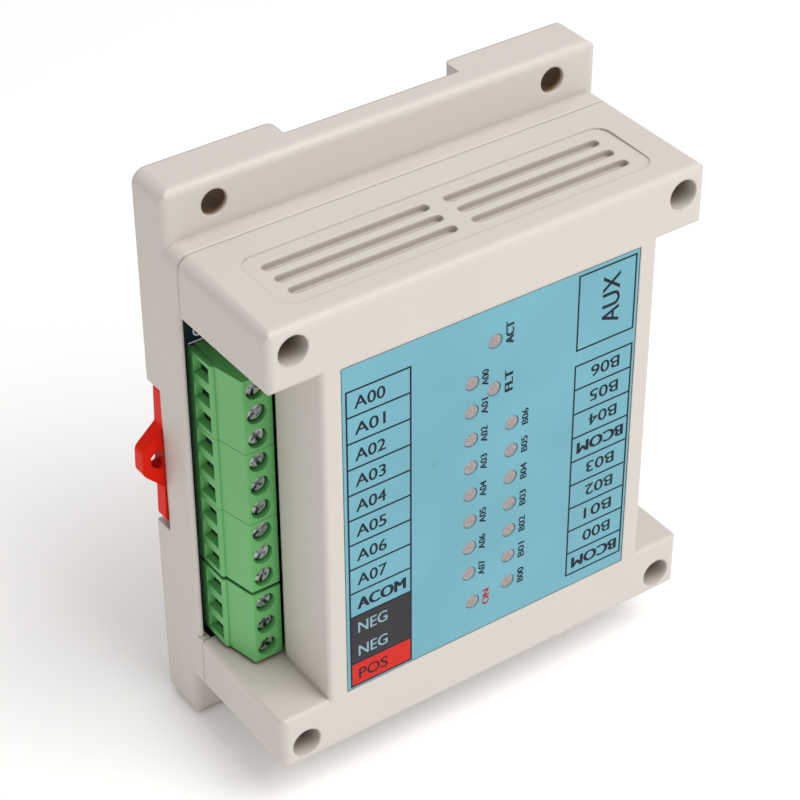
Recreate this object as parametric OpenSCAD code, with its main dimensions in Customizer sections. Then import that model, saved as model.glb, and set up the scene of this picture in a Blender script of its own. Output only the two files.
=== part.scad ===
// Small programmable controller module in a two-part case for a 35 mm rail or a panel.
// X runs across the case, Z along its length and Y from the front (negative) to the back plane.
// The origin is the middle of the rail channel, in the back plane.

/* [Case] */
// Width of the case over its terminal sides
case_w = 90; // [89:0.5:96]
// Length of the case over its mounting wings
case_h = 115; // [114:0.5:120]
// Depth of the case from the back plane to the front face
case_d = 40; // [39:0.5:44]
// Length of the cover, and of the tub under it
cover_h = 94.3; // [94:0.1:95]
// Depth of the mounting wings
wing_d = 9.2; // [8.6:0.1:10]
// Depth from the back plane to the seam between base and cover
seam_d = 13.3; // [13:0.1:13.6]
// Wall thickness of both shells
wall = 1.8; // [1.6:0.1:2]
// Radius of the case's outer corners
edge_r = 2.6; // [1:0.1:2.8]
// Width of the raised centre of the cover
plateau_w = 69.9; // [69.7:0.1:70.3]
// Length of the terminal bays between the ears of the cover
bay_h = 70.7; // [70.5:0.1:71]

/* [Vents and label] */
// Rows of vent slots in each end face
vent_rows = 3; // [1:3]
// Distance between two rows of vent slots
vent_pitch = 4; // [3:0.5:4]
// Width of a vent slot
vent_w = 2.1; // [1.2:0.1:2.4]
// Length of a vent slot
vent_l = 33; // [20:0.5:34]
// Width of the printed label
label_w = 62; // [56:1:64]
// Length of the printed label
label_h = 70; // [66:0.5:70]
// Thickness of the printed label
label_t = 0.2; // [0.15:0.05:0.4]

/* [Mounting] */
// Width of the rail channel in the back
channel_w = 36; // [35.6:0.1:36.2]
// Depth of the rail channel
channel_d = 4.3; // [4.2:0.1:4.4]
// Reach of the fixed hook over the rail's flange
hook_reach = 1.6; // [1:0.1:2]
// Travel of the rail clip
clip_travel = 5; // [3:0.5:5]
// Length of the rail clip's plate along the rail
clip_h = 28.6; // [26:0.2:28.8]
// How far the pull tab stands out of the case
tab_reach = 4.2; // [3.8:0.2:7]
// Distance between the panel holes across the case
panel_x = 70; // [66:0.5:72]
// Distance between the panel holes along the case
panel_z = 105; // [104:0.5:106]
// Diameter of the panel holes
panel_hole_d = 5; // [4:0.1:5.5]
// Distance between the cover screws across the case
cover_screw_x = 80; // [79:0.5:80.5]
// Distance between the cover screws along the case
cover_screw_z = 85; // [84:0.5:85.5]
// Diameter of the wells that the cover screws sit in
well_d = 5.8; // [5.6:0.1:6]

/* [Terminals] */
// Distance between two terminals
pitch = 5.08; // [5:0.02:5.08]
// Height of a terminal block above the board
block_h = 14.2; // [13.9:0.1:14.3]
// Depth of a terminal block at the board
block_t = 7.7; // [7.4:0.1:7.7]
// Diameter of a terminal screw's head
screw_head_d = 3.7; // [3.4:0.1:3.8]

/* [Indicators] */
// Distance between two indicator lamps in a row
lamp_pitch = 6; // [5:0.5:6]
// Diameter of an indicator lens
lens_d = 2.9; // [2.4:0.1:3]

/* [Port] */
// Height of the port's middle above the middle of the case
port_z = 26.4; // [25:0.2:27]
// Width of the port's shell along the case
port_w = 12; // [11:0.1:12]
// Height of the port's shell above the board
port_h = 10.9; // [10:0.1:11]

/* [Hidden] */
$fn = 48;
fine = 0.02;                                  // overshoot of a cut past the face it opens
seam_gap = 0.15;                              // open line between base and cover
half_w = case_w / 2;
half_plateau = plateau_w / 2;
half_bay = bay_h / 2;
floor_d = channel_d + 2;                      // inside face of the base's floor over the channel
cavity_w = case_w - 2 * wall;
cavity_h = cover_h - 2 * wall;
flare = 0.45;                                 // draft of the cover's end faces, from the front to the seam
bay_wall_d = 12.6;                            // front edge of the base's walls beside the terminal bays
plateau_side_d = 25.7;                        // where the raised centre's side walls end, clear of the blocks
bay_edge_r = 0.9;                             // rounding of the front edges round the bays
channel_side = channel_w / 2 + 2;             // outer side of the channel's walls
label_d = case_d - 0.05;                      // printed side of the label

board_d = 10.5;                               // front face of the circuit board
board_t = 1.6;
board_w = cavity_w - 1;
board_h = 77;
board_screw = [27, 35.5];
board_screw_d = 2.5;
pin_d = 1;

ear_well = [cover_screw_x / 2, cover_screw_z / 2];
well_floor_d = 15.6;                          // depth of the step that a cover screw's head sits on
cover_screw_d = 3;
pilot_d = 2.9;

clip_slot_h = 31.1;                           // notch for the clip in the left wall
clip_t = 2.8;
clip_end = -half_w - 0.1;                     // outer edge of the clip's plate
clip_gap = 0.2;
clip_lift = 0.55;                             // the clip rests a little above the middle of its notch
clip_tilt = 1.7;                              // and a little askew
flange_gap = 1.3;                             // room for the rail's flange under hook and nose
guide_t = 1.1;
peg_d = 3;
peg_x = -29;

ways = 3;                                     // terminals in one block
face_d = board_d + block_h;                   // front face of the terminal blocks
block_x = 42.6;                               // outer face of the terminal blocks
screw_x = 38;
head_t = 1.9;
shank_d = 2.9;
shank_l = 5.35;
head_bore_d = screw_head_d + 0.2;
head_bore_end = 18.9;
cage_front = 17.5;
cage_back = 11.2;
cage_wall = 0.4;
cage_nut = 0.8;
cage_w = 3.8;
cage_outer = 41;
cage_inner = 35.6;
plate_t = 0.7;
entry_d = 14.75;                              // depth of a wire entry's middle

// Middle of each block along Z, how much longer than its terminals it is, and how deep its screws sit
in_blocks = [[19.97, 0, 0.8], [4.73, 0, 0.9], [-10.51, 0, 0.8], [-26.7, 0.5, 0.95]];
out_blocks = [[5.06, 0, 0.8], [-10.18, 0, 1.1], [-25.42, 0, 0.9]];
// Direction of each screw's slot as it was left
in_turns = [75, 38, 118, 112, 52, 66, 30, 58, 72, 128, 100, 140];
out_turns = [20, 95, 60, 130, 45, 10, 80, 150, 35];
n_in = len(in_blocks) * ways;
n_out = len(out_blocks) * ways;

lamp_left = -4.65;
lamp_right = 4.05;
lamp_tops = [21.2, 9.2];                      // top lamp of the left and of the right row
status_lamps = [[0.1, 28], [0, 18.1], [-3.8, -27.8]];
lamps = concat(
    [for (i = [0:7]) [lamp_left, lamp_tops[0] - i * lamp_pitch]],
    [for (i = [0:6]) [lamp_right, lamp_tops[1] - i * lamp_pitch]],
    status_lamps);

// Size of the board's parts along X, Y and Z, and where they stand on it
opto = [6.5, 3.6, 4.5];
opto_pitch = 6;
opto_rows = [[-27.15, 21.75, 8], [19.25, 9.25, 7]];   // X, Z of the top one and number of them
transistor = [6, 2.3, 4];
transistor_top = [28, 8];
transistor_pitch = 5.4;
capacitors = [[-14, -28, 8, 12], [-14, -17, 8, 12], [10, 30, 6.3, 8]];   // X, Z, diameter, height
controller = [-15, 8];

function pad(i) = i < 10 ? str("0", i) : str(i);
function names(stem, n) = [for (i = [1:n]) str(stem, pad(i))];

// ---- outlines ----

function unit(v) = v / norm(v);

// Arc that rounds the corner at p, between its neighbours a and b
function corner_arc(a, p, b, r, n) =
    let (u = unit(a - p), v = unit(b - p), half = acos(u * v) / 2,
         c = p + unit(u + v) * r / sin(half),
         s = p + u * r / tan(half) - c, e = p + v * r / tan(half) - c,
         turn = cross(s, e) > 0 ? 180 - 2 * half : 2 * half - 180)
    [for (k = [0:n]) let (t = turn * k / n)
        c + [s.x * cos(t) - s.y * sin(t), s.x * sin(t) + s.y * cos(t)]];

// Outline through points [x, y, corner radius]
function rounded(pts, n = 6) = [for (i = [0:len(pts) - 1])
    let (p = pts[i], a = pts[(i + len(pts) - 1) % len(pts)], b = pts[(i + 1) % len(pts)])
    each p[2] == 0 ? [[p.x, p.y]] : corner_arc([a.x, a.y], [p.x, p.y], [b.x, b.y], p[2], n)];

function rect_points(w, h, r) =
    [[w / 2, h / 2, r], [-w / 2, h / 2, r], [-w / 2, -h / 2, r], [w / 2, -h / 2, r]];

// Section across the case: square at the back, rounded at the front, wider by flare at the back on each side
function front_points(w, front, back, r, flare) = let (b = w / 2 + flare)
    [[w / 2, -front, r], [b, -back, 0], [-b, -back, 0], [-w / 2, -front, r]];

// ---- building blocks ----

// Extrudes an outline drawn in X and Z
module along_y(y0, y1) {
    translate([0, y1, 0]) rotate([90, 0, 0]) linear_extrude(y1 - y0) children();
}

// Extrudes an outline drawn in Y and Z
module along_x(x0, x1) {
    translate([x0, 0, 0]) rotate([90, 0, 90]) linear_extrude(x1 - x0) children();
}

// Extrudes an outline drawn in X and Y
module along_z(z0, z1) {
    translate([0, 0, z0]) linear_extrude(z1 - z0) children();
}

module box(lo, hi) {
    translate(lo) cube(hi - lo);
}

// Round bar or hole along Y
module bar_y(x, z, y0, y1, d) {
    translate([x, y1, z]) rotate([90, 0, 0]) cylinder(d = d, h = y1 - y0);
}

module both_sides() {
    children();
    mirror([1, 0, 0]) children();
}

module both_ends() {
    children();
    mirror([0, 0, 1]) children();
}

module four_corners() {
    both_sides() both_ends() children();
}

// Slab with the outline pts in X and Z, with its front edges rounded and its end faces drafted by flare
module soft_slab(pts, w, h, front, back, front_r, flare = 0) {
    intersection() {
        along_y(-front, -back) polygon(rounded(pts));
        along_z(-h, h) polygon(rounded(front_points(w, front, back, front_r, 0)));
        along_x(-w, w) mirror([1, 0]) rotate(90)
            polygon(rounded(front_points(h, front, back, front_r, flare)));
    }
}

// What rounding takes off a square edge at the origin of a solid that fills +X +Y
module edge_waste(r) {
    polygon(concat([[-fine, -fine], [r, -fine]],
        [for (k = [0:6]) [r, r] + r * [-sin(k * 15), -cos(k * 15)]], [[-fine, r]]));
}

// ---- case ----

module base_shell() {
    soft_slab(rect_points(case_w, case_h, edge_r), case_w, case_h, wing_d, 0, 1.6);
    tub_h = cover_h + 2 * flare;
    soft_slab(rect_points(case_w, tub_h, edge_r), case_w, tub_h, seam_d, 1, 0.5);
}

module base_hollow() {
    box([-cavity_w / 2, -seam_d - 1, -cavity_h / 2], [cavity_w / 2, -floor_d, cavity_h / 2]);
    // lower, thinner walls with a soft outer edge beside the terminal bays
    both_sides() {
        box([0, -seam_d - 1, -half_bay], [half_w + 1, -bay_wall_d, half_bay]);
        box([0, -seam_d, -half_bay], [half_w - 0.85, -wing_d, half_bay]);
        along_z(-half_bay, half_bay) translate([half_w, -bay_wall_d]) mirror([1, 0]) edge_waste(1.2);
    }
    // room beside the channel, down to the back skin
    box([channel_side, -floor_d - 1, -cavity_h / 2], [cavity_w / 2, -wall, cavity_h / 2]);
    both_ends() box([-cavity_w / 2, -floor_d - 1, clip_slot_h / 2 + 2],
        [-channel_side, -wall, cavity_h / 2]);
    // the wings are hollow and open at the back
    four_corners() box([channel_side, -wing_d + 1.6, cover_h / 2 + wall],
        [cavity_w / 2, 1, case_h / 2 - wall]);
}

module rail_channel() {
    box([-channel_w / 2, -channel_d, -case_h], [channel_w / 2, 1, case_h]);
    // softened mouth
    four_corners() along_z(20, case_h) translate([channel_w / 2, 0]) mirror([0, 1]) edge_waste(1.2);
    // the clip's pocket runs out through the left wall
    box([-case_w, -channel_d, -clip_slot_h / 2], [0, 1, clip_slot_h / 2]);
}

module fixed_hook() {
    tip = channel_w / 2 - hook_reach;
    along_z(-14, 14) polygon([[channel_side, flange_gap - channel_d], [tip, flange_gap - channel_d],
        [tip, flange_gap + 1.2 - channel_d], [channel_w / 2, -0.4], [channel_side, -0.4]]);
}

module clip_guides() {
    both_ends() box([-half_w + 2, -guide_t, clip_slot_h / 2 - 2.8], [-channel_side, 0, clip_slot_h / 2 + 1]);
    bar_y(peg_x, 0, -channel_d - 0.5, -channel_d + clip_t - 0.4, peg_d);
}

module base_bosses() {
    four_corners() difference() {
        bar_y(ear_well.x, ear_well.y, -seam_d, -1, 6.8);
        bar_y(ear_well.x, ear_well.y, -seam_d - 1, -2.4, pilot_d);
    }
    four_corners() difference() {
        bar_y(board_screw.x, board_screw.y, -board_d + board_t, -1, 5.6);
        bar_y(board_screw.x, board_screw.y, -board_d, -3.4, board_screw_d - 0.1);
    }
}

// Inner lip that the cover locates on
module base_lip() {
    inner = cavity_h / 2;
    both_ends() box([-cavity_w / 2 + 8, -seam_d - 1.4, inner - 0.9],
        [cavity_w / 2 - 8, -floor_d - 1, inner - 0.1]);
    both_ends() box([-cavity_w / 2 + 8, -seam_d + 1, inner - 0.9],
        [cavity_w / 2 - 8, -floor_d - 1, inner + 0.5]);
}

module port_notch() {
    box([half_w - 4, -seam_d - 2, port_z - port_w / 2 - 0.8],
        [half_w + 1, -board_d, port_z + port_w / 2 + 0.8]);
}

module base_housing() {
    color([0.84, 0.80, 0.74]) {
        difference() {
            base_shell();
            base_hollow();
            rail_channel();
            port_notch();
            four_corners() bar_y(panel_x / 2, panel_z / 2, -wing_d - 1, 0, panel_hole_d);
        }
        fixed_hook();
        clip_guides();
        base_bosses();
        base_lip();
    }
}

function cover_points() = let (w = half_w, h = cover_h / 2 + flare, p = half_plateau, b = half_bay) [
    [w, h, edge_r], [-w, h, edge_r], [-w, b, 0.8], [-p, b, 0], [-p, -b, 0], [-w, -b, 0.8],
    [-w, -h, edge_r], [w, -h, edge_r], [w, -b, 0.8], [p, -b, 0], [p, b, 0], [w, b, 0.8]];

module cover_hollow() {
    top = case_d - wall;
    box([-half_plateau + wall, -top, -cavity_h / 2], [half_plateau - wall, 0, cavity_h / 2]);
    both_ends() box([-cavity_w / 2, -top, half_bay + wall], [cavity_w / 2, 0, cavity_h / 2]);
}

// What rounding takes off the front edge of the raised centre and of an ear
module plateau_edge(z0, z1) {
    along_z(z0, z1) translate([half_plateau, -case_d]) mirror([1, 0]) edge_waste(bay_edge_r);
}

module ear_edge(x0, x1) {
    along_x(x0, x1) translate([-case_d, half_bay]) edge_waste(bay_edge_r);
}

module bay_edges() {
    both_sides() plateau_edge(-half_bay, half_bay);
    four_corners() {
        ear_edge(half_plateau, half_w + 1);
        intersection() {
            plateau_edge(half_bay - 1, half_bay + 2);
            ear_edge(half_plateau - 2, half_plateau + 1);
        }
    }
}

module vents() {
    both_ends() {
        along_z(cover_h / 2 - 0.05, cover_h / 2 + 1)
            translate([0, -27.3]) polygon(rounded(rect_points(75.6, 15.6, 3)));
        for (row = [0:vent_rows - 1], side = [-1, 1])
            along_z(cover_h / 2 - 1.3, cover_h / 2 + 1)
                translate([side * (1.65 + vent_l / 2) - 0.4,
                    -27.4 + (row - (vent_rows - 1) / 2) * vent_pitch])
                    polygon(rounded(rect_points(vent_l, vent_w, vent_w / 2 - 0.01)));
    }
}

module top_cover() {
    color([0.86, 0.83, 0.78]) difference() {
        union() {
            difference() {
                soft_slab(cover_points(), case_w, cover_h, case_d, seam_d + seam_gap, 1.6, flare);
                cover_hollow();
            }
            four_corners() bar_y(ear_well.x, ear_well.y, 1 - case_d, -seam_d - seam_gap, well_d + 2.4);
        }
        bay_edges();
        vents();
        four_corners() {
            bar_y(ear_well.x, ear_well.y, -case_d - 1, -well_floor_d, well_d);
            bar_y(ear_well.x, ear_well.y, -well_floor_d - 1, 0, cover_screw_d + 0.4);
        }
        for (at = lamps) bar_y(at.x, at.y, -case_d - 1, wall - case_d + 1, lens_d + 0.1);
        box([-label_w / 2 - 0.2, -case_d - 1, -label_h / 2 - 0.2],
            [label_w / 2 + 0.2, label_t - label_d, label_h / 2 + 0.2]);
        // the side walls of the raised centre end just in front of the terminal blocks
        both_sides() box([half_plateau - wall - 1, -plateau_side_d, -half_bay],
            [half_plateau + 1, 0, half_bay]);
    }
}

module front_label() {
    color([0.47, 0.71, 0.77]) difference() {
        box([-label_w / 2, -label_d, -label_h / 2], [label_w / 2, label_t - label_d, label_h / 2]);
        for (at = lamps) bar_y(at.x, at.y, -case_d - 1, 0, lens_d + 0.1);
    }
}

module cover_screws() {
    color([0.72, 0.73, 0.75]) four_corners() difference() {
        union() {
            bar_y(ear_well.x, ear_well.y, -well_floor_d - 2.2, -well_floor_d, 5.4);
            bar_y(ear_well.x, ear_well.y, -well_floor_d - 1, -4, pilot_d - 0.04);
        }
        for (w = [[1.5, 0.35], [0.35, 1.5]])
            box([ear_well.x - w.x, -well_floor_d - 3, ear_well.y - w.y],
                [ear_well.x + w.x, -well_floor_d - 1.1, ear_well.y + w.y]);
    }
}

// ---- rail clip ----

module clip_outline() {
    rear = -channel_w / 2 - 0.3;
    polygon(rounded([[rear, clip_h / 2, 0.5], [clip_end, clip_h / 2, 0.8], [clip_end, 6.5, 1],
        [clip_end - tab_reach, 2.5, 2], [clip_end - tab_reach, -2.5, 2], [clip_end, -6.5, 1],
        [clip_end, -clip_h / 2, 0.8], [rear, -clip_h / 2, 0.5]]));
}

// Openings in the clip: finger loop, stop slot and the slits that free its two spring legs
module clip_openings() {
    polygon(rounded([[clip_end - 0.2, 2.8, 0.7], [clip_end - tab_reach + 1.65, 0.8, 0.6],
        [clip_end - tab_reach + 1.65, -0.8, 0.6], [clip_end - 0.2, -2.8, 0.7]]));
    translate([peg_x + clip_travel / 2, 0]) square([clip_travel + peg_d + 0.6, peg_d + 2.2], center = true);
    for (side = [-1, 1]) {
        translate([-31, side * 8.2]) square([17, 1.2], center = true);
        translate([-39, side * 10]) square([1.2, 4.8], center = true);
    }
}

module clip_nose() {
    back = clip_gap + clip_t - channel_d;
    wall_x = -channel_w / 2;
    tip = wall_x + hook_reach - 0.4;
    along_z(-13, 13) polygon([[wall_x - 1, clip_gap - channel_d], [wall_x - 0.3, clip_gap - channel_d],
        [wall_x - 0.3, flange_gap - channel_d], [tip, flange_gap - channel_d],
        [tip, flange_gap + 0.6 - channel_d], [wall_x + 0.4, back], [wall_x - 1, back]]);
}

module din_clip() {
    middle = (clip_end - channel_w / 2) / 2;
    color([0.82, 0.12, 0.06])
    translate([middle, 0, clip_lift]) rotate([0, clip_tilt, 0]) translate([-middle, 0, 0]) {
        along_y(clip_gap - channel_d, clip_gap + clip_t - channel_d) difference() {
            clip_outline();
            clip_openings();
        }
        clip_nose();
    }
}

// ---- terminals: drawn on the left side, mirrored for the right ----

module block_section() {
    polygon([[-block_x, -board_d], [-block_x, -17.85], [-block_x + 0.4, -18.25], [-block_x + 0.65, -18.25],
        [-block_x + 1.95, -face_d + 0.15], [-block_x + 2.1, -face_d], [block_t - block_x, -face_d],
        [block_t - block_x, -board_d]]);
}

// Funnel that a wire goes in by
module wire_entry(z) {
    depth = block_x - cage_outer - 0.2;
    mouth = [4.9, 3.3];
    throat = [4.1, 2.8];
    face = -block_x - fine;
    intersection() {
        along_z(z - 2, z + 2) polygon([
            [face, -entry_d - mouth.x / 2], [face + depth, -entry_d - throat.x / 2],
            [face + 2, -entry_d - throat.x / 2], [face + 2, -entry_d + throat.x / 2],
            [face + depth, -entry_d + throat.x / 2], [face, -entry_d + mouth.x / 2]]);
        along_y(-20, -10) polygon([[face, z - mouth.y / 2], [face + depth, z - throat.y / 2],
            [face + 2, z - throat.y / 2], [face + 2, z + throat.y / 2],
            [face + depth, z + throat.y / 2], [face, z + mouth.y / 2]]);
    }
}

module terminal_block(mid, extra) {
    half = (ways * pitch - 0.08 + extra) / 2;
    difference() {
        along_z(mid - half, mid + half) block_section();
        // groove that takes the next block's rib
        box([-block_x + 0.7, -17.6, mid + half - 0.3], [-block_x + 1.5, fine - board_d, mid + half + 1]);
        for (i = [0:ways - 1]) {
            z = mid + (1 - i) * pitch;
            wire_entry(z);
            bar_y(-screw_x, z, -face_d - 1, -head_bore_end, head_bore_d);
            bar_y(-screw_x, z, -head_bore_end - 1, -cage_front, shank_d + 0.3);
            box([-cage_outer - 0.2, -cage_front - 0.1, z - cage_w / 2 - 0.1],
                [0.1 - cage_inner, fine - board_d, z + cage_w / 2 + 0.1]);
        }
    }
}

module blocks(rows) {
    for (row = rows) terminal_block(row[0], row[1]);
}

function terminal_z(rows, i) = rows[floor(i / ways)][0] + (1 - i % ways) * pitch;
function terminal_sink(rows, i) = rows[floor(i / ways)][2];

module wire_cage(z) {
    half = cage_w / 2;
    difference() {
        box([-cage_outer, -cage_front, z - half], [-cage_inner, -cage_back, z + half]);
        box([-cage_outer - 1, cage_nut - cage_front, z - half + cage_wall],
            [1 - cage_inner, -cage_back - cage_wall, z + half - cage_wall]);
        bar_y(-screw_x, z, -cage_front - 1, -cage_front + 2, shank_d + 0.1);
    }
    bar_y(-screw_x - 1, z, -cage_back - 0.2, -8, pin_d);
}

module wire_cages() {
    color([0.80, 0.78, 0.72]) {
        for (i = [0:n_in - 1]) wire_cage(terminal_z(in_blocks, i));
        mirror([1, 0, 0]) for (i = [0:n_out - 1]) wire_cage(terminal_z(out_blocks, i));
    }
}

module terminal_screw(z, sink, turn) {
    head = sink - face_d;
    rim = 0.3;
    difference() {
        union() {
            translate([-screw_x, head + rim, z]) rotate([90, 0, 0])
                cylinder(d1 = screw_head_d, d2 = screw_head_d - 2 * rim, h = rim);
            bar_y(-screw_x, z, head + rim, head + head_t, screw_head_d);
            bar_y(-screw_x, z, head + 1, head + head_t + shank_l, shank_d);
        }
        translate([-screw_x, head, z]) rotate([0, -turn, 0]) {
            cube([5, 1.8, 0.7], center = true);
            cube([0.6, 1.6, 2.3], center = true);
        }
    }
}

module wire_clamp(z, sink) {
    front = sink - face_d + head_t + shank_l + 0.05;
    box([-40.4, front, z - 1.3], [-36.3, front + plate_t, z + 1.3]);
}

module input_screw(i) {
    color([0.68, 0.69, 0.71])
        terminal_screw(terminal_z(in_blocks, i), terminal_sink(in_blocks, i), in_turns[i]);
}

module output_screw(i) {
    color([0.68, 0.69, 0.71]) mirror([1, 0, 0])
        terminal_screw(terminal_z(out_blocks, i), terminal_sink(out_blocks, i), out_turns[i]);
}

module input_clamp(i) {
    color([0.75, 0.72, 0.60]) wire_clamp(terminal_z(in_blocks, i), terminal_sink(in_blocks, i));
}

module output_clamp(i) {
    color([0.75, 0.72, 0.60]) mirror([1, 0, 0])
        wire_clamp(terminal_z(out_blocks, i), terminal_sink(out_blocks, i));
}

module input_terminal_blocks() {
    color([0.37, 0.70, 0.37]) blocks(in_blocks);
}

module output_terminal_blocks() {
    color([0.37, 0.70, 0.37]) mirror([1, 0, 0]) blocks(out_blocks);
}

// ---- circuit board and what stands on it ----

module main_board() {
    color([0.07, 0.12, 0.25]) difference() {
        box([-board_w / 2, -board_d, -board_h / 2], [board_w / 2, board_t - board_d, board_h / 2]);
        four_corners() bar_y(board_screw.x, board_screw.y, -board_d - 1, 0, board_screw_d + 0.3);
        for (i = [0:n_in - 1])
            bar_y(-screw_x - 1, terminal_z(in_blocks, i), -board_d - 1, 0, pin_d + 0.2);
        for (i = [0:n_out - 1])
            bar_y(screw_x + 1, terminal_z(out_blocks, i), -board_d - 1, 0, pin_d + 0.2);
        bar_y(-40.2, 29.9, -board_d - 1, 0, 1.2);
    }
}

module board_screws() {
    color([0.72, 0.73, 0.75]) four_corners() difference() {
        union() {
            bar_y(board_screw.x, board_screw.y, -board_d - 1.6, -board_d, 4.6);
            bar_y(board_screw.x, board_screw.y, -board_d - 1, -4.4, board_screw_d - 0.14);
        }
        for (w = [[1.2, 0.3], [0.3, 1.2]])
            box([board_screw.x - w.x, -board_d - 2, board_screw.y - w.y],
                [board_screw.x + w.x, -board_d - 0.8, board_screw.y + w.y]);
    }
}

module indicator_lenses() {
    color([0.72, 0.62, 0.62]) for (at = lamps) bar_y(at.x, at.y, 0.1 - case_d, 2 - case_d, lens_d);
}

module indicator_leds() {
    tip = case_d - 2.1;
    color([0.80, 0.45, 0.40]) for (at = lamps) {
        translate([at.x, lens_d / 2 - tip, at.y]) sphere(d = lens_d);
        bar_y(at.x, at.y, lens_d / 2 - tip, 4.4 - tip, lens_d);
        bar_y(at.x, at.y, 4.2 - tip, 5 - tip, lens_d + 0.6);
        for (side = [-0.8, 0.8])
            box([at.x + side - 0.2, 4.8 - tip, at.y - 0.2], [at.x + side + 0.2, -board_d, at.y + 0.2]);
    }
}

module port_shell() {
    back = 27;
    mouth = block_x;
    t = 0.4;
    half = port_w / 2;
    color([0.75, 0.76, 0.78]) difference() {
        box([back, -board_d - port_h, port_z - half], [mouth, -board_d, port_z + half]);
        box([back - 1, t - board_d - port_h, port_z - half + t],
            [mouth - 2 * t, -board_d - t, port_z + half - t]);
        box([mouth - 2, -board_d - port_h / 2 - 3.9, port_z - 4.25],
            [mouth + 1, -board_d - port_h / 2 + 3.9, port_z + 4.25]);
    }
}

module port_insert() {
    back = 27.2;
    mouth = block_x;
    mid = -board_d - port_h / 2;
    lip = 0.45;
    half = port_w / 2 - lip;
    color([0.92, 0.92, 0.90]) {
        difference() {
            box([back, mid - port_h / 2 + lip, port_z - half],
                [mouth - 0.9, mid + port_h / 2 - lip, port_z + half]);
            box([mouth - 9, mid - 3.9, port_z - 4.25], [mouth, mid + 3.9, port_z + 4.25]);
        }
        box([mouth - 10, mid - 1.6, port_z - 2.8], [mouth - 1.6, mid + 1.6, port_z + 2.8]);
    }
}

module microcontroller() {
    half = 5;
    color([0.12, 0.12, 0.13]) translate([controller.x, -board_d, controller.y]) {
        box([-half, -1.5, -half], [half, -0.1, half]);
        for (quarter = [0:3], lead = [-5:5])
            rotate([0, quarter * 90, 0])
                box([half - fine, -0.5, lead * 0.8 - 0.15], [half + 1, 0, lead * 0.8 + 0.15]);
    }
}

module optocouplers() {
    color([0.16, 0.16, 0.17]) {
        for (row = opto_rows, i = [0:row[2] - 1])
            translate([row.x, -board_d - opto.y / 2, row.y - i * opto_pitch]) cube(opto, center = true);
    }
}

module output_transistors() {
    color([0.13, 0.13, 0.14]) for (i = [0:6])
        translate([transistor_top.x, -board_d - transistor.y / 2, transistor_top.y - i * transistor_pitch])
            cube(transistor, center = true);
}

module power_capacitors() {
    color([0.20, 0.24, 0.42]) for (at = capacitors)
        bar_y(at.x, at.y, -board_d - at[3], -board_d, at[2]);
}

base_housing();
top_cover();
front_label();
din_clip();
cover_screws();
main_board();
board_screws();
input_terminal_blocks();
output_terminal_blocks();
wire_cages();
indicator_lenses();
indicator_leds();
port_shell();
port_insert();
microcontroller();
optocouplers();
output_transistors();
power_capacitors();
for (i = [1:n_in]) {
    input_screw(i - 1);
    input_clamp(i - 1);
}
for (i = [1:n_out]) {
    output_screw(i - 1);
    output_clamp(i - 1);
}
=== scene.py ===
"""Looks of the small programmable controller module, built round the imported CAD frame."""

import math
import random

import bpy
import bmesh
from mathutils import Matrix, Vector


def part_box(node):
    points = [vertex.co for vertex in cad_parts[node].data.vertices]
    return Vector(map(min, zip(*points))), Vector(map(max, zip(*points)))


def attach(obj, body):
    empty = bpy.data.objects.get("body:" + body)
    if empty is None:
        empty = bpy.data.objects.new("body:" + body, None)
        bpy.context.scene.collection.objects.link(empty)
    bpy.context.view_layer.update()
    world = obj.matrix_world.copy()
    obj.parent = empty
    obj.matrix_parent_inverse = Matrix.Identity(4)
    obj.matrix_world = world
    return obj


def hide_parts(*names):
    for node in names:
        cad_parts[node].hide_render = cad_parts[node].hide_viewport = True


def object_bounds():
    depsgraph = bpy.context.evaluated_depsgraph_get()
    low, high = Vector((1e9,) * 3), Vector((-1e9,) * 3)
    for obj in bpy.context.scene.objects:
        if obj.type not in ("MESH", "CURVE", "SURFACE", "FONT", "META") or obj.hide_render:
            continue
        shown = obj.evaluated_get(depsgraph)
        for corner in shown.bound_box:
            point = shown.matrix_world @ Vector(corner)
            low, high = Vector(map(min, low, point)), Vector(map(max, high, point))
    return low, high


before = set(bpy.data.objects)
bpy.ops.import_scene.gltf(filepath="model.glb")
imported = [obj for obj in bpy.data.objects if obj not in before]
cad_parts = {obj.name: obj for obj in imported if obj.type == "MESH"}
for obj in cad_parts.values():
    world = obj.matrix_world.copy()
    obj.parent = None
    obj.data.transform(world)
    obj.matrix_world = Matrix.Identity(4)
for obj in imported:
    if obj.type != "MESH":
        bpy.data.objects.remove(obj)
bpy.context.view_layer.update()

MM = 0.001
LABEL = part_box("front_label")[0].y            # printed side of the label
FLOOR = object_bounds()[0].z                      # the case stands on its lower end


# ---- node graphs ----

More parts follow.
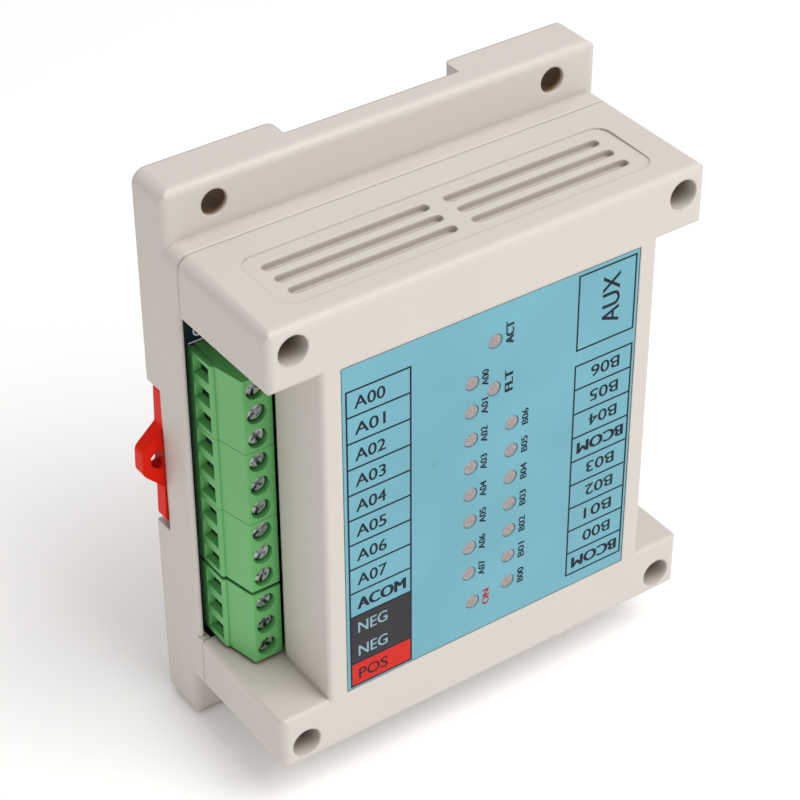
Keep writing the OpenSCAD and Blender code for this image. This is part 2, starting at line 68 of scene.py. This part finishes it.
class Graph:
    """A material and the few node patterns that the materials below share."""

    def __init__(self, name, colour, roughness, **sockets):
        self.material = bpy.data.materials.new(name)
        self.material.use_nodes = True
        tree = self.material.node_tree
        self.nodes, self.links = tree.nodes, tree.links
        self.shader = self.nodes["Principled BSDF"]
        self.place = self.nodes.new("ShaderNodeTexCoord").outputs["Object"]
        self.set("Base Color", (*colour, 1.0))
        self.set("Roughness", roughness)
        for socket, value in sockets.items():
            self.set(socket.replace("_", " "), value)

    def set(self, socket, value):
        """Sets a socket of the shader to a value, or links an output to it."""
        if isinstance(value, bpy.types.NodeSocket):
            self.links.new(value, self.shader.inputs[socket])
        else:
            self.shader.inputs[socket].default_value = value

    def node(self, kind, inputs=None, **settings):
        made = self.nodes.new(kind)
        for name, value in settings.items():
            setattr(made, name, value)
        for socket, value in (inputs or {}).items():
            if isinstance(value, bpy.types.NodeSocket):
                self.links.new(value, made.inputs[socket])
            else:
                made.inputs[socket].default_value = value
        return made

    def noise(self, size, detail=2.0, stretch=(1, 1, 1)):
        """Noise whose features are about size metres across."""
        place = self.node("ShaderNodeMapping", {"Vector": self.place, "Scale": stretch}).outputs[0]
        inputs = {"Vector": place, "Scale": 1 / size, "Detail": detail}
        return self.node("ShaderNodeTexNoise", inputs).outputs["Fac"]

    def cells(self, size):
        """Distance to the middle of cells about size metres across."""
        cells = self.node("ShaderNodeTexVoronoi", {"Vector": self.place, "Scale": 1 / size})
        return cells.outputs["Distance"]

    def remap(self, value, low, high, start=0.0, end=1.0):
        inputs = {"Value": value, "From Min": start, "From Max": end, "To Min": low, "To Max": high}
        return self.node("ShaderNodeMapRange", inputs).outputs["Result"]

    def math(self, operation, a, b):
        return self.node("ShaderNodeMath", {0: a, 1: b}, operation=operation).outputs[0]

    def blend(self, factor, a, b):
        """Colour a where factor is 0 and b where it is 1."""
        mixed = self.node("ShaderNodeMix", data_type="RGBA")
        for socket, value in ((mixed.inputs[0], factor), (mixed.inputs[6], a), (mixed.inputs[7], b)):
            if isinstance(value, bpy.types.NodeSocket):
                self.links.new(value, socket)
            elif isinstance(value, tuple):
                socket.default_value = (*value, 1.0)
            else:
                socket.default_value = value
        return mixed.outputs[2]

    def mask(self, *conditions):
        """Product of several 0 to 1 values."""
        product = conditions[0]
        for value in conditions[1:]:
            product = self.math("MULTIPLY", product, value)
        return product

    def reach(self, a, b):
        """Length of the vector a, b."""
        squares = [self.math("MULTIPLY", value, value) for value in (a, b)]
        return self.math("SQRT", self.math("ADD", *squares), 0.0)

    def across(self):
        """Distance from the middle planes in X and in Z, and Y."""
        x, y, z = self.node("ShaderNodeSeparateXYZ", {0: self.place}).outputs
        return self.math("ABSOLUTE", x, 0.0), y, self.math("ABSOLUTE", z, 0.0)

    def round_hole(self, x, z, radius, y0, y1):
        """Mask of the four mirrored holes along Y at x, z (millimetres), rising from depth y0 to y1."""
        ax, y, az = self.across()
        apart = self.reach(self.math("SUBTRACT", ax, x * MM), self.math("SUBTRACT", az, z * MM))
        return self.mask(self.math("LESS_THAN", apart, radius * MM), self.remap(y, 0, 1, y0 * MM, y1 * MM))

    def block(self, low, high):
        """Mask of a box given in mirrored X, Y and mirrored Z (millimetres)."""
        sides = []
        for value, least, most in zip(self.across(), low, high):
            sides += [self.math("GREATER_THAN", value, least * MM), self.math("LESS_THAN", value, most * MM)]
        return self.mask(*sides)

    def painted_occlusion(self, reach):
        """Mask of narrow gaps and sunken corners, where little light gets in; the plastics paint shade into
        their colour with it.
        """
        occlusion = self.node("ShaderNodeAmbientOcclusion", {"Distance": reach * MM}, samples=6)
        return self.remap(occlusion.outputs["AO"], 1.0, 0.0, 0.06, 0.62)

    def soften(self, radius):
        """Normal rounded over the edges, and a mask that is 1 along them."""
        rounded = self.node("ShaderNodeBevel", {"Radius": radius}, samples=6).outputs[0]
        flat = self.node("ShaderNodeNewGeometry").outputs["Normal"]
        facing = self.node("ShaderNodeVectorMath", {0: rounded, 1: flat}, operation="DOT_PRODUCT")
        return rounded, self.remap(facing.outputs["Value"], 0.0, 1.0, 0.995, 0.80)

    def bumps(self, normal, *layers):
        """Adds layers of (height, distance in metres) to a normal and gives it to the shader."""
        for height, distance in layers:
            inputs = {"Height": height, "Distance": distance, "Strength": 1.0}
            if normal is not None:
                inputs["Normal"] = normal
            normal = self.node("ShaderNodeBump", inputs).outputs[0]
        self.set("Normal", normal)


def tint(colour, factor):
    return tuple(min(1.0, c * factor) for c in colour)


# ---- materials ----

def moulded(name, colour, roughness, grain=0.25, edge=0.30, depth=6.0, variation=0.04, gloss=0.5,
            painted_shade_colour=None, gap=4, holes=(), shallow=()):
    """Moulded plastic: spark-eroded grain, slow unevenness, and edges a little smoother and paler, the
    paleness partly rub wear and partly painted highlight.

    Corners narrower than gap get painted shade: their colour turns towards the shade colour given and they
    lose their gloss.
    The holes get the same painted shade, and the shallow places less of it; both are functions that give a
    mask."""
    g = Graph(name, colour, roughness, Specular_IOR_Level=gloss)
    normal, edge_wear_and_sheen = g.soften(edge * MM)
    slow = g.noise(14 * MM, 3)
    fine = g.noise(grain * MM, 3)
    shade = g.blend(g.remap(slow, 0, 1, 0.3, 0.7), tint(colour, 1 - variation), tint(colour, 1 + variation))
    # edges paler: partly rub wear, partly painted highlight
    shade = g.blend(g.math("MULTIPLY", edge_wear_and_sheen, 0.25), shade, tint(colour, 1.10))
    # painted shade: gaps, holes and shallow places darken towards the shade colour and lose their gloss
    if painted_shade_colour:
        dark = g.painted_occlusion(gap)
        for hole in holes:
            dark = g.math("MAXIMUM", dark, hole(g))
        for place in shallow:
            dark = g.math("MULTIPLY", dark, g.remap(place(g), 1.0, 0.75))
        shade = g.blend(dark, shade, painted_shade_colour)
        g.set("Specular IOR Level", g.remap(dark, gloss, 0.0))
    g.set("Base Color", shade)
    rough = g.math("ADD", g.remap(g.noise(2.4 * MM, 4), roughness - 0.03, roughness + 0.03, 0.3, 0.7),
                   g.math("MULTIPLY", edge_wear_and_sheen, -0.06))
    g.set("Roughness", rough)
    g.bumps(normal, (slow, depth * 2e-6), (g.noise(1.6 * MM, 2), depth * 0.6e-6), (fine, depth * 1e-6))
    return g.material


SMUDGE = (-12.5, 7.5)                         # small dark spot on the label


def printed_film():
    """Polyester label: flat colour with a faint dither, satin, with a slight ripple and a few scuffs."""
    colour = (0.138, 0.384, 0.466)
    g = Graph("label_film", colour, 0.38, Specular_IOR_Level=0.45)
    slow = g.noise(22 * MM, 2)
    dither = g.noise(0.22 * MM, 1)
    shade = g.blend(g.remap(slow, 0, 1, 0.35, 0.65), tint(colour, 0.95), tint(colour, 1.05))
    shade = g.blend(g.remap(dither, 0, 0.16, 0.4, 0.7), shade, tint(colour, 0.90))
    x, y, z = g.node("ShaderNodeSeparateXYZ", {0: g.place}).outputs
    apart = g.reach(g.math("SUBTRACT", x, SMUDGE[0] * MM), g.math("SUBTRACT", z, SMUDGE[1] * MM))
    shade = g.blend(g.remap(apart, 0.28, 0.0, 0.1 * MM, 0.9 * MM), shade, (0.07, 0.20, 0.22))
    g.set("Base Color", shade)
    g.set("Roughness", g.remap(g.noise(3 * MM, 5), 0.32, 0.46, 0.3, 0.7))
    g.bumps(None, (slow, 3e-5), (g.noise(0.5 * MM, 2), 2e-6))
    return g.material


def ink(name, colour, roughness=0.5, **sockets):
    """Screen-printed ink with slightly uneven cover."""
    g = Graph(name, colour, roughness, Specular_IOR_Level=0.15, **sockets)
    cover = g.noise(0.35 * MM, 3)
    g.set("Base Color", g.blend(g.remap(cover, 0, 1, 0.35, 0.75), tint(colour, 0.9), tint(colour, 1.15)))
    g.bumps(None, (cover, 2e-6))
    return g.material


def lamp_window():
    """Clear embossed window in the film, with a dull frosted lamp close behind it."""
    mauve, dark = (0.36, 0.29, 0.31), (0.17, 0.155, 0.165)
    g = Graph("lamp_window", mauve, 0.30, Specular_IOR_Level=0.6)
    radial = g.node("ShaderNodeAttribute", attribute_name="radial").outputs["Fac"]
    streaks = g.remap(g.noise(0.30 * MM, 3, (1.6, 1, 0.7)), 0, 0.8, 0.42, 0.66)
    glint = g.remap(g.noise(0.42 * MM, 2), 0, 0.6, 0.56, 0.68)
    shade = g.blend(g.remap(radial, 0.8, 0.0, 0.0, 0.75), mauve, (0.27, 0.27, 0.20))
    shade = g.blend(streaks, shade, dark)
    # painted glint: pale specks in the colour stand in for glints on the window
    shade = g.blend(glint, shade, (0.56, 0.50, 0.50))
    g.set("Base Color", g.blend(g.remap(radial, 0.0, 0.6, 0.72, 1.0), shade, (0.24, 0.34, 0.38)))
    g.bumps(None, (g.noise(0.3 * MM, 2), 4e-5))
    return g.material


def lamp_resin():
    g = Graph("led_resin", (0.80, 0.45, 0.40), 0.2, Transmission_Weight=0.3)
    cloud = g.noise(1.5 * MM, 2)
    g.set("Base Color", g.blend(cloud, (0.85, 0.55, 0.50), (0.70, 0.35, 0.32)))
    g.bumps(None, (cloud, 1e-5))
    return g.material


def solder_mask():
    """Navy lacquer over copper tracks, which show as faint ridges."""
    colour = (0.006, 0.016, 0.040)
    g = Graph("board_laminate", colour, 0.3, Coat_Weight=0.3)
    normal, edge_wear_and_sheen = g.soften(0.1 * MM)
    weave = g.noise(0.4 * MM, 2, (1, 1, 3))
    tracks = g.remap(g.cells(3.5 * MM), 0, 1, 0.30, 0.34)
    shade = g.blend(tracks, tint(colour, 0.8), tint(colour, 1.5))
    g.set("Base Color", g.blend(g.math("MULTIPLY", edge_wear_and_sheen, 0.4), shade, (0.16, 0.20, 0.16)))
    g.bumps(normal, (tracks, 3e-5), (weave, 4e-6))
    return g.material


def turned_steel():
    """Bright terminal screw: rings left by the turning tool, and dark bands of painted reflection between
    bright ones.
    """
    colour = (0.84, 0.86, 0.89)
    g = Graph("screw_steel", colour, 0.22, Metallic=1.0)
    normal, edge_wear_and_sheen = g.soften(0.08 * MM)
    own = g.node("ShaderNodeTexCoord").outputs["Generated"]
    x, y, z = g.node("ShaderNodeSeparateXYZ", {0: own}).outputs
    out = g.reach(g.math("SUBTRACT", x, 0.5), g.math("SUBTRACT", z, 0.5))
    rings = g.math("SINE", g.math("MULTIPLY", out, 72.0), 0.0)
    cloud = g.noise(0.8 * MM, 3)
    glare = g.noise(1.5 * MM, 1, (1, 1, 0.6))
    # painted reflection: the glare streaks and the turning rings darken the colour in bands, as dark
    # reflections would
    shade = g.blend(g.remap(glare, 0, 0.85, 0.40, 0.64), colour, (0.30, 0.33, 0.34))
    shade = g.blend(g.remap(rings, 0.0, 0.55, -0.2, 1.0), shade, (0.26, 0.29, 0.29))
    # edges painted almost white: partly bright wear, partly painted highlight
    g.set("Base Color", g.blend(g.math("MULTIPLY", edge_wear_and_sheen, 0.7), shade, (0.95, 0.96, 0.98)))
    g.set("Roughness", g.remap(cloud, 0.12, 0.26, 0.3, 0.7))
    g.bumps(normal, (rings, 1.0e-5), (cloud, 5e-6))
    return g.material


def metal(name, colour, roughness, grain=(0.2, 3.0), edge=0.12):
    """Plated metal with fine drawn lines, cloudy roughness and brighter worn edges."""
    g = Graph(name, colour, roughness, Metallic=1.0)
    normal, edge_wear_and_sheen = g.soften(edge * MM)
    lines = g.noise(grain[0] * MM, 3, (1, 1 / grain[1], 1))
    cloud = g.noise(1.1 * MM, 4)
    shade = g.blend(g.remap(cloud, 0, 1, 0.35, 0.7), tint(colour, 0.78), tint(colour, 1.1))
    g.set("Base Color", g.blend(g.math("MULTIPLY", edge_wear_and_sheen, 0.5), shade, tint(colour, 1.3)))
    g.set("Roughness", g.remap(cloud, roughness - 0.08, roughness + 0.12, 0.3, 0.7))
    g.bumps(normal, (lines, 8e-6), (cloud, 2e-5))
    return g.material


GLOW = 0.105                                  # light that the floor gives off, so that it stays white


def floor_paint():
    colour = (0.97, 0.97, 0.965)
    g = Graph("floor_paint", colour, 0.7, Specular_IOR_Level=0.2, Emission_Color=(1, 1, 1, 1),
              Emission_Strength=GLOW)
    cloud = g.noise(300 * MM, 3)
    g.set("Base Color", g.blend(cloud, tint(colour, 0.99), tint(colour, 1.01)))
    return g.material


def dress(node, material):
    """Gives a CAD node a material in place of its plain one."""
    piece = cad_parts[node]
    for slot in piece.material_slots:
        slot.material = material


WING_HOLE = (35, 52.5)                        # X and Z of the holes in the mounting wings, mirrored
SCREW_WELL = (40, 42.5)                       # and of the wells of the cover screws
# painted shade: the brown dark that the ivory plastic is given in its gaps and holes
IVORY_PAINTED_SHADE = (0.172, 0.100, 0.047)                  # how the ivory plastic looks in its gaps and holes


# Masks of where shade is painted: the wing holes, the hollows behind them and the screw wells get it, and
# the vents get less.
def wing_holes(g):
    return g.mask(g.round_hole(*WING_HOLE, 2.6, -9.1, -8.2), 0.98)


def wing_hollows(g):
    return g.mask(g.block((19.9, -7.65, 48.8), (43.3, 0.1, 55.8)), 0.92)


def screw_wells(g):
    return g.round_hole(*SCREW_WELL, 3.0, -39.6, -33)


def vents(g):
    return g.block((-1, -36, 45), (37, -20, 49))


def dress_cad():
    steel = turned_steel()
    zinc = metal("zinc_steel", (0.66, 0.67, 0.69), 0.30)
    brass = metal("plated_brass", (0.74, 0.70, 0.60), 0.34)
    clamp = metal("clamp_metal", (0.66, 0.64, 0.58), 0.36)
    chip = moulded("chip_resin", (0.020, 0.020, 0.022), 0.45, grain=0.15, edge=0.15)
    ivory = (0.625, 0.575, 0.525)
    # painted shade: the green darkens towards dark green in its narrow gaps
    green = moulded("terminal_plastic", (0.130, 0.462, 0.137), 0.38, grain=0.5, edge=0.22, depth=4.0,
                    painted_shade_colour=(0.030, 0.140, 0.032), gap=2.6)
    looks = {
        # painted shade: the ivory case parts darken towards brown in gaps, holes and screw wells
        "base_housing": moulded("housing_plastic", ivory, 0.46, edge=0.7, depth=3.0, variation=0.008,
                                painted_shade_colour=IVORY_PAINTED_SHADE, holes=(wing_holes, wing_hollows)),
        "top_cover": moulded("cover_plastic", ivory, 0.46, edge=0.7, depth=3.0, variation=0.008,
                             painted_shade_colour=IVORY_PAINTED_SHADE, holes=(screw_wells,), shallow=(vents,)),
        # painted shade: the red clip darkens towards dark red in its gaps
        "din_clip": moulded("clip_plastic", (0.81, 0.014, 0.003), 0.36, grain=0.4, edge=0.35, depth=3.0,
                            painted_shade_colour=(0.16, 0.004, 0.003), gloss=0.07),
        "front_label": printed_film(),
        "cover_screws": zinc, "board_screws": zinc,
        "main_board": solder_mask(),
        "input_terminal_blocks": green, "output_terminal_blocks": green,
        "wire_cages": brass,
        "indicator_leds": lamp_resin(),
        "port_shell": metal("port_metal", (0.66, 0.67, 0.69), 0.28),
        "port_insert": moulded("port_plastic", (0.80, 0.80, 0.77), 0.4, edge=0.15),
        "microcontroller": chip, "optocouplers": chip, "output_transistors": chip,
        "power_capacitors": moulded("capacitor_sleeve", (0.015, 0.022, 0.09), 0.3, edge=0.3),
    }
    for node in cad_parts:
        if "_screw_" in node and node[-2:].isdigit():
            looks[node] = steel
        elif "_clamp_" in node:
            looks[node] = clamp
    for node, material in looks.items():
        dress(node, material)


# ---- pieces ----

def new_piece(name, mesh, material, body="case", stands_for=()):
    mesh.materials.clear()
    mesh.materials.append(material)
    piece = bpy.data.objects.new(name, mesh)
    bpy.context.scene.collection.objects.link(piece)
    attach(piece, body)
    if stands_for:
        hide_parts(*stands_for)
    return piece


def glyphs(word):
    """Mesh of a word in the plain built-in face."""
    curve = bpy.data.curves.new("word", "FONT")
    curve.body = word
    curve.resolution_u = 4
    holder = bpy.data.objects.new("word", curve)
    bpy.context.scene.collection.objects.link(holder)
    bpy.context.view_layer.update()
    mesh = bpy.data.meshes.new_from_object(holder.evaluated_get(bpy.context.evaluated_depsgraph_get()))
    bpy.data.objects.remove(holder)
    bpy.data.curves.remove(curve)
    return mesh


STEP = 0.004                                  # bold words are two copies, one this much above the other


class Print:
    """One ink: flat shapes a few hundredths of a millimetre proud of the label, drawn in X and Z."""

    def __init__(self, proud):
        self.mesh = bmesh.new()
        self.y = LABEL - proud * MM

    def bar(self, x0, z0, x1, z1):
        corners = ((x0, z0), (x1, z0), (x1, z1), (x0, z1))
        self.mesh.faces.new([self.mesh.verts.new((x * MM, self.y, z * MM)) for x, z in corners])

    def frame(self, x0, z0, x1, z1, line):
        """Outline of a box, line wide, inside its edges."""
        self.bar(x0, z0, x1, z0 + line)
        self.bar(x0, z1 - line, x1, z1)
        self.bar(x0, z0 + line, x0 + line, z1 - line)
        self.bar(x1 - line, z0 + line, x1, z1 - line)

    def word(self, text, middle, length, height, turn=0, weight=0.0):
        """A word fitted to a length and cap height about its middle, turned anticlockwise."""
        mesh = glyphs(text)
        xs = [v.co.x for v in mesh.vertices]
        ys = [v.co.y for v in mesh.vertices]
        fit = Matrix.Diagonal((length / (max(xs) - min(xs)), height / (max(ys) - min(ys)), 1, 1))
        centre = Vector(((max(xs) + min(xs)) / 2, (max(ys) + min(ys)) / 2, 0))
        place = (Matrix.Translation((middle[0], middle[1], 0)) @ Matrix.Rotation(math.radians(turn), 4, "Z")
                 @ fit @ Matrix.Translation(-centre))
        across = math.radians(turn)
        copies = ((-weight / 2, 0), (weight / 2, STEP * MM)) if weight else ((0, 0),)
        for shift, lift in copies:
            slip = Vector((shift * math.cos(across), shift * math.sin(across), 0))
            points = [place @ p.co + slip for p in mesh.vertices]
            made = [self.mesh.verts.new((p.x * MM, self.y - lift, p.y * MM)) for p in points]
            for face in mesh.polygons:
                self.mesh.faces.new([made[i] for i in face.vertices])
        bpy.data.meshes.remove(mesh)

    def finish(self, name, material, thickness=0.02):
        bmesh.ops.recalc_face_normals(self.mesh, faces=self.mesh.faces)
        for face in self.mesh.faces:
            if face.normal.y > 0:
                face.normal_flip()
        made = bmesh.ops.extrude_face_region(self.mesh, geom=self.mesh.faces[:])
        for part in made["geom"]:
            if isinstance(part, bmesh.types.BMVert):
                part.co.y += thickness * MM
        mesh = bpy.data.meshes.new(name)
        self.mesh.to_mesh(mesh)
        self.mesh.free()
        return new_piece(name, mesh, material)


LINE = 0.34                                   # width of the ruled lines
CAPS = 2.45                                   # cap height in the tables
BOLD, PLAIN = 0.34, 0.09                      # shift between the two copies of a word
LEFT_TABLE = (-30.4, 30.2, -17.2, 5.41)       # left, top, right, height of a row
RIGHT_TABLE = (17.6, 15.5, 30.6, 5.34)
LEFT_WORDS = ["A0%d" % i for i in range(8)] + ["ACOM", "NEG", "NEG", "POS"]
RIGHT_WORDS = ["B06", "B05", "B04", "BCOM", "B03", "B02", "B01", "B00", "BCOM"]


def table(dark, left, top, right, row, rows, merged=0):
    """Ruled table; there is no line above the row numbered merged."""
    bottom = top - row * rows
    dark.frame(left, bottom, right, top, LINE)
    for i in set(range(1, rows)) - {merged}:
        dark.bar(left + LINE, top - i * row - LINE / 2, right - LINE, top - i * row + LINE / 2)


def print_left_table(dark, grey, red, pale):
    left, top, right, row = LEFT_TABLE
    table(dark, left, top, right, row, len(LEFT_WORDS), 10)
    grey.bar(left + LINE, top - 11 * row + LINE / 2, right - LINE, top - 9 * row - LINE / 2)
    red.bar(left + LINE, top - 12 * row + LINE, right - LINE, top - 11 * row - LINE / 2)
    for i, text in enumerate(LEFT_WORDS):
        bold = len(text) == 4
        length = 10.0 if bold else 6.1
        middle = (-28.6 + length / 2, top - (i + 0.52) * row)
        words = pale if i in (9, 10) else dark
        words.word(text, middle, length, CAPS, weight=BOLD if bold else PLAIN)


def print_right_table(dark):
    left, top, right, row = RIGHT_TABLE
    table(dark, left, top, right, row, len(RIGHT_WORDS))
    for i, text in enumerate(RIGHT_WORDS):
        bold = len(text) == 4
        start, end = (19.1, 29.4) if bold else (21.4, 27.7)
        dark.word(text, ((start + end) / 2, top - (i + 0.5) * row), end - start, CAPS, 180,
                  weight=BOLD if bold else PLAIN)


LAMP_LEFT, LAMP_RIGHT, LAMP_PITCH = -4.65, 4.05, 6.0
LAMPS_LEFT = [(LAMP_LEFT, 21.2 - i * LAMP_PITCH) for i in range(8)]
LAMPS_RIGHT = [(LAMP_RIGHT, 9.2 - i * LAMP_PITCH) for i in range(7)]
STATUS = [(0.1, 28.0), (0.0, 18.1), (-3.8, -27.8)]


def print_legends(dark, crimson):
    for i, (x, z) in enumerate(LAMPS_LEFT):
        dark.word("A0%d" % i, (x + 2.75, z + 0.15), 3.3, 1.4, 90, 0.13)
    for i, (x, z) in enumerate(LAMPS_RIGHT):
        dark.word("B0%d" % (6 - i), (x + 2.9, z + 0.15), 3.3, 1.4, 90, 0.13)
    dark.word("ACT", (3.15, 28.65), 4.5, 1.7, 90, 0.30)
    dark.word("FLT", (3.15, 18.65), 4.3, 1.7, 90, 0.30)
    crimson.word("ON", (-0.85, -28.0), 3.4, 1.5, 90, 0.22)
    dark.frame(17.7, 18.5, 30.5, 34.3, LINE)
    dark.word("AUX", (25.05, 26.9), 10.2, 3.8, 90, 0.15)


LEVELS = (0.010, 0.011, 0.012, 0.022, 0.034)   # how far each ink stands proud, so that no two coincide


def print_label():
    grey, red, crimson, dark, pale = [Print(level) for level in LEVELS]
    print_left_table(dark, grey, red, pale)
    print_right_table(dark)
    print_legends(dark, crimson)
    dark.finish("label_ink_dark", ink("ink_dark", (0.010, 0.014, 0.026)))
    grey.finish("label_ink_grey", ink("ink_grey", (0.036, 0.033, 0.037)))
    red.finish("label_ink_red", ink("ink_red", (0.62, 0.020, 0.011)))
    crimson.finish("label_ink_crimson", ink("ink_crimson", (0.38, 0.018, 0.035)))
    pale.finish("label_ink_pale", ink("ink_pale", (0.26, 0.42, 0.48)))


WINDOW_RADIUS, WINDOW_RINGS, WINDOW_SIDES = 1.45, 9, 40
WINDOW_SAG, WINDOW_DOME, WINDOW_GRAIN = 0.02, 0.12, 0.03


def lamp_disc(mesh, radial, x, z, draw):
    """One window: a closed disc with a domed, slightly rough front."""
    low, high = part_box("indicator_lenses")
    turns = [2 * math.pi * i / WINDOW_SIDES for i in range(WINDOW_SIDES)]

    def vert(r, turn, y):
        out = r * WINDOW_RADIUS
        made = mesh.verts.new(((x + out * math.cos(turn)) * MM, y, (z + out * math.sin(turn)) * MM))
        made[radial] = r
        return made

    loops = []
    for k in range(1, WINDOW_RINGS + 1):
        r = k / WINDOW_RINGS
        dome = low.y + (WINDOW_SAG + WINDOW_DOME * r * r) * MM
        rough = WINDOW_GRAIN * MM if k < WINDOW_RINGS else 0.0
        loops.append([vert(r, turn, dome + (draw.random() - 0.5) * rough) for turn in turns])
    loops.append([vert(1, turn, high.y) for turn in turns])
    front, back = vert(0, 0, low.y + WINDOW_SAG * MM), vert(0, 0, high.y)
    for i in range(WINDOW_SIDES):
        j = (i + 1) % WINDOW_SIDES
        mesh.faces.new((front, loops[0][j], loops[0][i]))
        mesh.faces.new((back, loops[-1][i], loops[-1][j]))
        for inner, outer in zip(loops, loops[1:]):
            mesh.faces.new((inner[i], inner[j], outer[j], outer[i]))


def lamp_windows():
    """Slightly domed, embossed round windows in the label, one over each lamp."""
    draw = random.Random(7)
    mesh = bmesh.new()
    radial = mesh.verts.layers.float.new("radial")
    for x, z in LAMPS_LEFT + LAMPS_RIGHT + STATUS:
        lamp_disc(mesh, radial, x, z, draw)
    bmesh.ops.recalc_face_normals(mesh, faces=mesh.faces)
    made = bpy.data.meshes.new("lamp_windows")
    mesh.to_mesh(made)
    mesh.free()
    made.polygons.foreach_set("use_smooth", [True] * len(made.polygons))
    new_piece("lamp_windows", made, lamp_window(), stands_for=("indicator_lenses",))


MARK_LINE = (-42.3, 27.75, -38.6, 28.0)       # left, bottom, right, top
MARK_RING = (-40.2, 29.9, 0.8, 1.1)           # X and Z of the middle, inner and outer radius


def board_marks():
    """Printed line and pad ring on the circuit board beside the terminal blocks, in an ink that glows a
    little: painted light.
    """
    mesh = bmesh.new()
    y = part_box("main_board")[0].y - 0.02 * MM

    def face(points):
        mesh.faces.new([mesh.verts.new((x * MM, y, z * MM)) for x, z in points])

    left, bottom, right, top = MARK_LINE
    face([(left, bottom), (right, bottom), (right, top), (left, top)])
    x, z, inner, outer = MARK_RING
    turns = [2 * math.pi * k / 24 for k in range(25)]
    for a, b in zip(turns, turns[1:]):
        face([(x + r * math.cos(t), z + r * math.sin(t))
              for r, t in ((inner, a), (outer, a), (outer, b), (inner, b))])
    made = bpy.data.meshes.new("board_marks")
    mesh.to_mesh(made)
    mesh.free()
    # painted light: the white ink gives off a little light of its own, so that it shows up in the shaded gap
    glowing_white_ink = ink("ink_white_glowing", (0.80, 0.82, 0.84), Emission_Color=(1, 1, 1, 1), Emission_Strength=0.12)
    new_piece("board_marks", made, glowing_white_ink)


# ---- stage ----

SKY, KEY = 0.55, 10.4                         # strengths of the world and of the soft light


def softbox(name, place, aim, size, power, colour=(1, 1, 1)):
    light = bpy.data.lights.new(name, "AREA")
    light.shape, light.size, light.energy, light.color = "SQUARE", size, power, colour
    holder = bpy.data.objects.new(name, light)
    holder.location = place
    holder.rotation_euler = (Vector(aim) - Vector(place)).to_track_quat("-Z", "Y").to_euler()
    bpy.context.scene.collection.objects.link(holder)


def add_floor():
    mesh = bmesh.new()
    bmesh.ops.create_grid(mesh, x_segments=8, y_segments=8, size=3.0)
    made = bpy.data.meshes.new("floor")
    mesh.to_mesh(made)
    mesh.free()
    made.materials.append(floor_paint())
    floor = bpy.data.objects.new("floor", made)
    floor.location.z = FLOOR
    bpy.context.scene.collection.objects.link(floor)


def add_light():
    world = bpy.data.worlds.new("studio")
    world.use_nodes = True
    backdrop = world.node_tree.nodes["Background"]
    backdrop.inputs["Color"].default_value = (1.0, 0.99, 0.98, 1.0)
    backdrop.inputs["Strength"].default_value = SKY
    bpy.context.scene.world = world
    softbox("key", (0.26, -0.62, 1.0), (0, 0, 0), 0.8, KEY)
    bpy.context.scene.view_settings.view_transform = "Standard"


AZIMUTH, ELEVATION, ROLL = -34.9585, 36.4735, -0.2525
DISTANCE, TARGET, LENS = 0.443446, (-0.0055898, -0.020, 0.0061714), 112.59


def add_camera():
    camera = bpy.data.cameras.new("camera")
    camera.lens, camera.sensor_width = LENS, 36.0
    camera.clip_start, camera.clip_end = 0.01, 20
    holder = bpy.data.objects.new("camera", camera)
    a, e = math.radians(AZIMUTH), math.radians(ELEVATION)
    back = Vector((math.sin(a) * math.cos(e), -math.cos(a) * math.cos(e), math.sin(e)))
    holder.location = Vector(TARGET) + back * DISTANCE
    holder.rotation_euler = ((-back).to_track_quat("-Z", "Y").to_matrix()
                             @ Matrix.Rotation(math.radians(ROLL), 3, "Z")).to_euler()
    bpy.context.scene.collection.objects.link(holder)
    bpy.context.scene.camera = holder


add_camera()
dress_cad()
print_label()
lamp_windows()
board_marks()
add_floor()
add_light()
